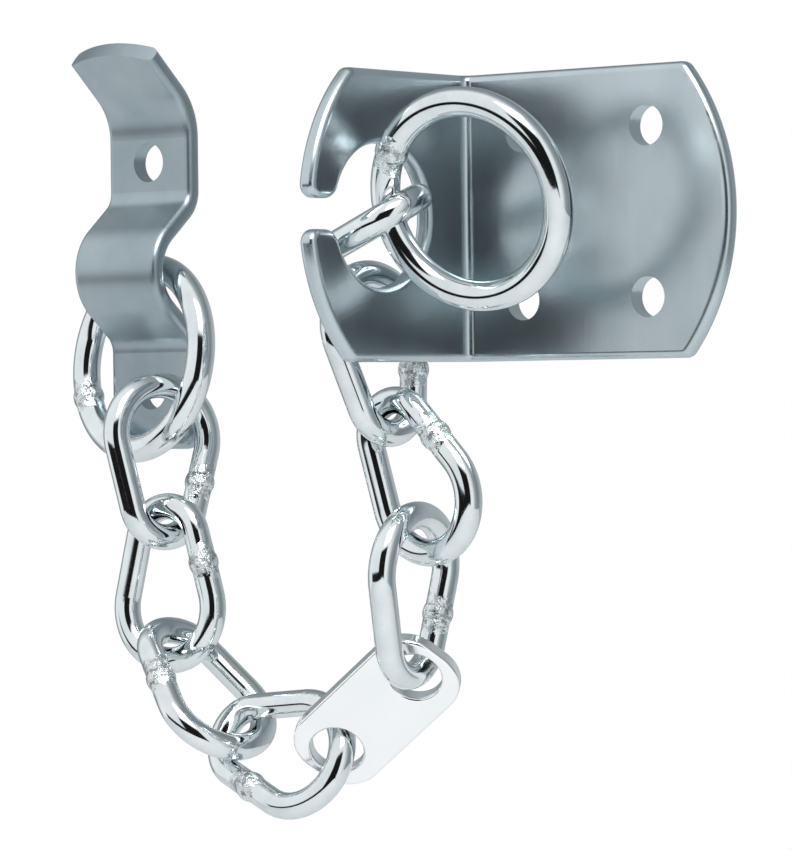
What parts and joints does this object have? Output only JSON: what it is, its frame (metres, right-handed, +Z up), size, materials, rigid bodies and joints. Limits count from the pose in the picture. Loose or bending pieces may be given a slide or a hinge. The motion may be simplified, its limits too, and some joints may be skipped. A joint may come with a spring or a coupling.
{
  "type": "door chain guard",
  "caption": "Door chain guard: folded hook plate and arched saddle bracket joined by a chain of welded pear links with a flat joining plate and two rings.",
  "frame": {"origin": "centre of the hook plate's four screw holes, on its back face", "axes": "+Z up, +Y into the door, +X to the right along the door, away from the saddle bracket"},
  "size_m": [0.1273, 0.0392, 0.12],
  "materials": {
    "bracket_zinc": "satin",
    "wire_zinc": "polished",
    "strap_zinc": "polished"
  },
  "bodies": {
    "brackets": {"hook_plate": "bracket_zinc", "saddle_bracket": "bracket_zinc"},
    "saddle_ring": {"saddle_ring": "wire_zinc"},
    "link_1": {"link_1": "wire_zinc"},
    "link_2": {"link_2": "wire_zinc"},
    "link_3": {"link_3": "wire_zinc"},
    "link_4": {"link_4": "wire_zinc"},
    "link_5": {"link_5": "wire_zinc"},
    "link_6": {"link_6": "wire_zinc"},
    "link_7": {"link_7": "wire_zinc"},
    "joining_plate": {"joining_plate": "strap_zinc"},
    "end_link": {"end_link": "wire_zinc"},
    "pull_ring": {"pull_ring": "wire_zinc"}
  },
  "joints": [
    {"name": "chain_swing", "type": "hinge", "parent": "brackets", "child": "saddle_ring", "pos_m": [-0.08467, -0.00127, -0.00593], "axis": [0.9501, -0.2901, -0.1146], "range_deg": [-53, 0]},
    {"name": "link_1_swing", "type": "hinge", "parent": "saddle_ring", "child": "link_1", "pos_m": [-0.07523, -0.00924, -0.02569], "axis": [0.7649, -0.0467, -0.6424], "range_deg": [-5.5, 4]},
    {"name": "link_2_swing", "type": "hinge", "parent": "link_1", "child": "link_2", "pos_m": [-0.0751, -0.01195, -0.0456], "axis": [-0.9139, 0.0064, 0.4058], "range_deg": [-3.5, 8]},
    {"name": "link_3_swing", "type": "hinge", "parent": "link_2", "child": "link_3", "pos_m": [-0.0743, -0.0126, -0.06483], "axis": [0.9982, 0.0061, -0.0602], "range_deg": [-10, 2]},
    {"name": "link_4_swing", "type": "hinge", "parent": "link_3", "child": "link_4", "pos_m": [-0.0607, -0.01305, -0.07915], "axis": [-0.9525, -0.0201, -0.3038], "range_deg": [-2, 3.5]},
    {"name": "joining_plate_swing", "type": "hinge", "parent": "link_4", "child": "joining_plate", "pos_m": [-0.0403, -0.0123, -0.0792], "axis": [0.8, 0, 0.6], "range_deg": [-8, 4]},
    {"name": "end_link_tilt", "type": "hinge", "parent": "brackets", "child": "end_link", "pos_m": [-0.0231, -0.0226, -0.0035], "axis": [0, 1, 0], "range_deg": [-1, 23]},
    {"name": "pull_ring_swing", "type": "hinge", "parent": "end_link", "child": "pull_ring", "pos_m": [-0.01787, -0.02395, 0.00221], "axis": [0.0314, -0.2484, 0.9681], "range_deg": [-11, 27]},
    {"name": "link_7_swing", "type": "hinge", "parent": "brackets", "child": "link_7", "pos_m": [-0.03251, -0.0172, -0.01222], "axis": [0.9501, -0.2901, -0.1146], "range_deg": [-53, 0]},
    {"name": "link_6_swing", "type": "hinge", "parent": "link_7", "child": "link_6", "pos_m": [-0.02725, -0.01565, -0.0299], "axis": [0.0564, 0.0879, -0.9945], "range_deg": [-12, 9]},
    {"name": "link_5_swing", "type": "hinge", "parent": "link_6", "child": "link_5", "pos_m": [-0.01949, -0.0148, -0.04646], "axis": [0.2526, -0.1126, 0.961], "range_deg": [-7, 9]}
  ],
  "couplings": [
    {"joint": "link_7_swing", "follows": "chain_swing", "ratio": 1}
  ]
}
